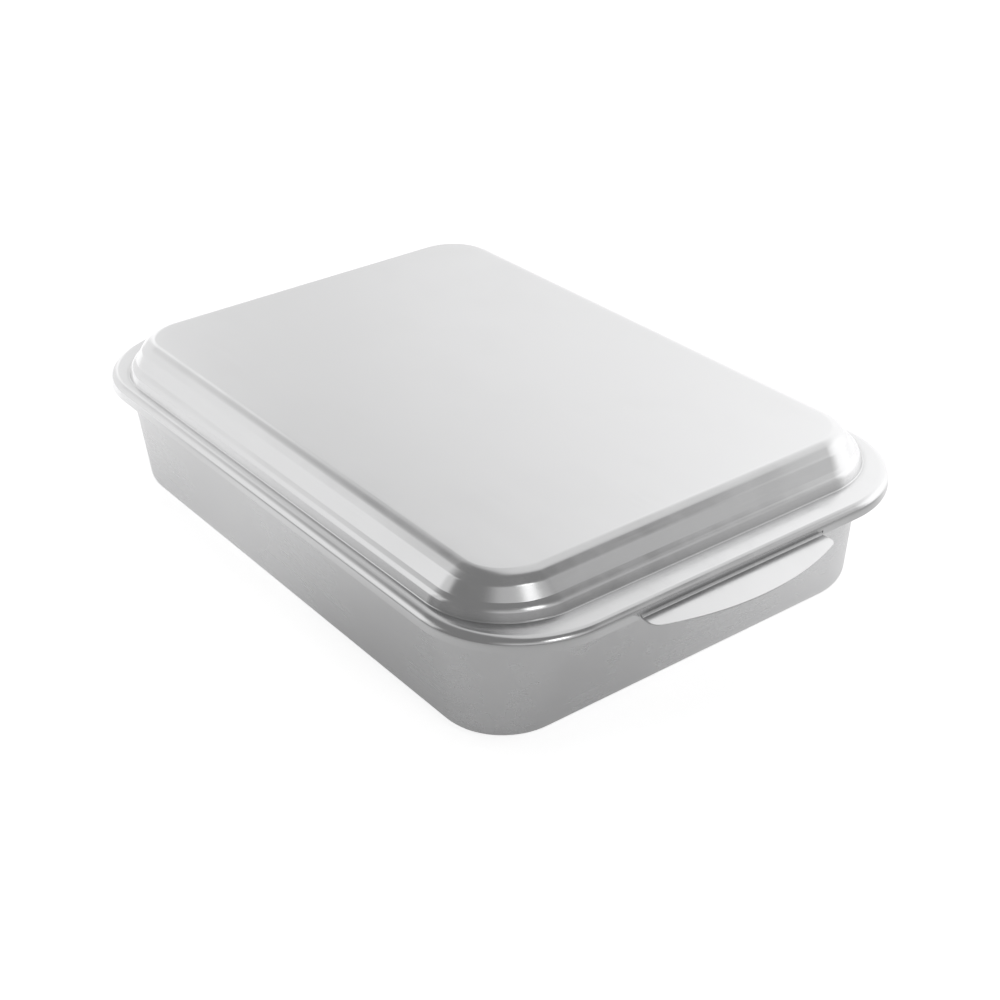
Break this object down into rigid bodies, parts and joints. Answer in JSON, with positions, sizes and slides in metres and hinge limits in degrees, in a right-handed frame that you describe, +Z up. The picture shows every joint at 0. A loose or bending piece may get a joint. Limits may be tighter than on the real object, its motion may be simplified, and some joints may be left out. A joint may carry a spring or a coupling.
{
  "type": "covered baking pan",
  "caption": "Rectangular drawn-metal baking pan with a wired rolled rim and a stepped lift-off lid that has a lifting tab at one short end.",
  "frame": {"origin": "centre of the underside of the pan, on the surface that it stands on", "axes": "+X along the pan's length, towards the lifting tab; +Y across its width; +Z up, the way the lid lifts"},
  "size_m": [0.3825, 0.2454, 0.0792],
  "materials": {
    "pan_aluminium": "satin drawn aluminium with a fine lengthwise grain",
    "lid_aluminium": "satin aluminium, brighter on the steps, bead and tab",
    "wire_steel": "galvanised steel wire, dull"
  },
  "bodies": {
    "pan": {"pan_shell": "pan_aluminium", "rim_wire": "wire_steel"},
    "lid": {"lid_shell": "lid_aluminium"}
  },
  "joints": [
    {"name": "lid_lift", "type": "slide", "parent": "pan", "child": "lid", "axis": [0, 0, 1], "range_m": [0, 0.12]}
  ]
}
